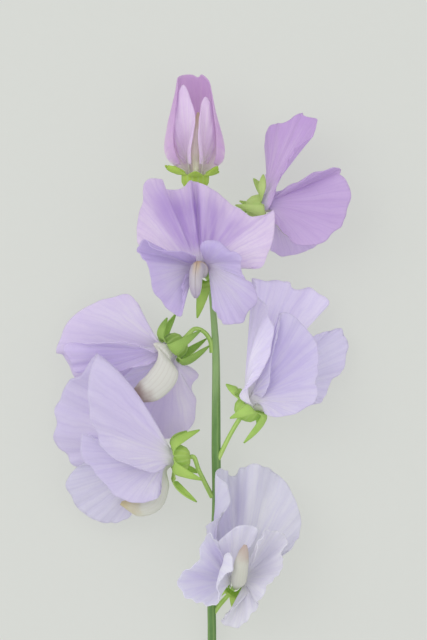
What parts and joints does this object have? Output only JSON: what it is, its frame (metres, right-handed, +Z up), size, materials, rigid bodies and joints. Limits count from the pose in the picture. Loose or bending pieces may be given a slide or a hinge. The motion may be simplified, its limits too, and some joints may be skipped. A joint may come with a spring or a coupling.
{
  "type": "sweet pea flower stem",
  "caption": "Cut stem of ruffled lilac sweet pea blossoms: standards, wings and cream keels in green calyces on short stalks, laid down on its side",
  "frame": {"origin": "centre of the bounding box at its lowest level, on the surface the cut stem lies on", "axes": "+Y along the stem from the cut end to the tip, +Z up from the surface, +X across to the right seen from above"},
  "size_m": [0.1078, 0.2515, 0.042],
  "materials": {
    "bud_petal": "soft mauve-pink petal tissue, matte with a faint sheen",
    "mauve_petal": "mauve petal tissue, finely veined, matte and slightly translucent",
    "lilac_petal": "pale lilac petal tissue, finely veined, matte and slightly translucent",
    "pale_petal": "almost white lilac petal tissue, finely veined, matte and slightly translucent",
    "keel_cream": "cream keel tissue with a brownish tip, matte",
    "stamen": "pale yellow filaments and anthers, matte",
    "calyx_green": "light green sepal tissue, softly matte",
    "stem_green": "green ribbed stem, satin"
  },
  "bodies": {
    "root": {"stem": "stem_green", "bud_standard": "bud_petal", "bud_left_wing": "bud_petal", "bud_right_wing": "bud_petal", "bud_keel": "keel_cream", "bud_stamens": "stamen", "bud_calyx": "calyx_green", "top_front_standard": "mauve_petal", "top_front_left_wing": "mauve_petal", "top_front_right_wing": "mauve_petal", "top_front_keel": "keel_cream", "top_front_stamens": "stamen", "top_front_calyx": "calyx_green", "top_right_standard": "mauve_petal", "top_right_left_wing": "mauve_petal", "top_right_right_wing": "mauve_petal", "top_right_keel": "keel_cream", "top_right_stamens": "stamen", "top_right_calyx": "calyx_green", "upper_left_standard": "lilac_petal", "upper_left_left_wing": "lilac_petal", "upper_left_right_wing": "lilac_petal", "upper_left_keel": "keel_cream", "upper_left_stamens": "stamen", "upper_left_calyx": "calyx_green", "lower_left_standard": "lilac_petal", "lower_left_left_wing": "lilac_petal", "lower_left_right_wing": "lilac_petal", "lower_left_keel": "keel_cream", "lower_left_stamens": "stamen", "lower_left_calyx": "calyx_green", "middle_right_standard": "lilac_petal", "middle_right_left_wing": "lilac_petal", "middle_right_right_wing": "lilac_petal", "middle_right_keel": "keel_cream", "middle_right_stamens": "stamen", "middle_right_calyx": "calyx_green", "bottom_standard": "pale_petal", "bottom_left_wing": "pale_petal", "bottom_right_wing": "pale_petal", "bottom_keel": "keel_cream", "bottom_stamens": "stamen", "bottom_calyx": "calyx_green"}
  },
  "joints": []
}
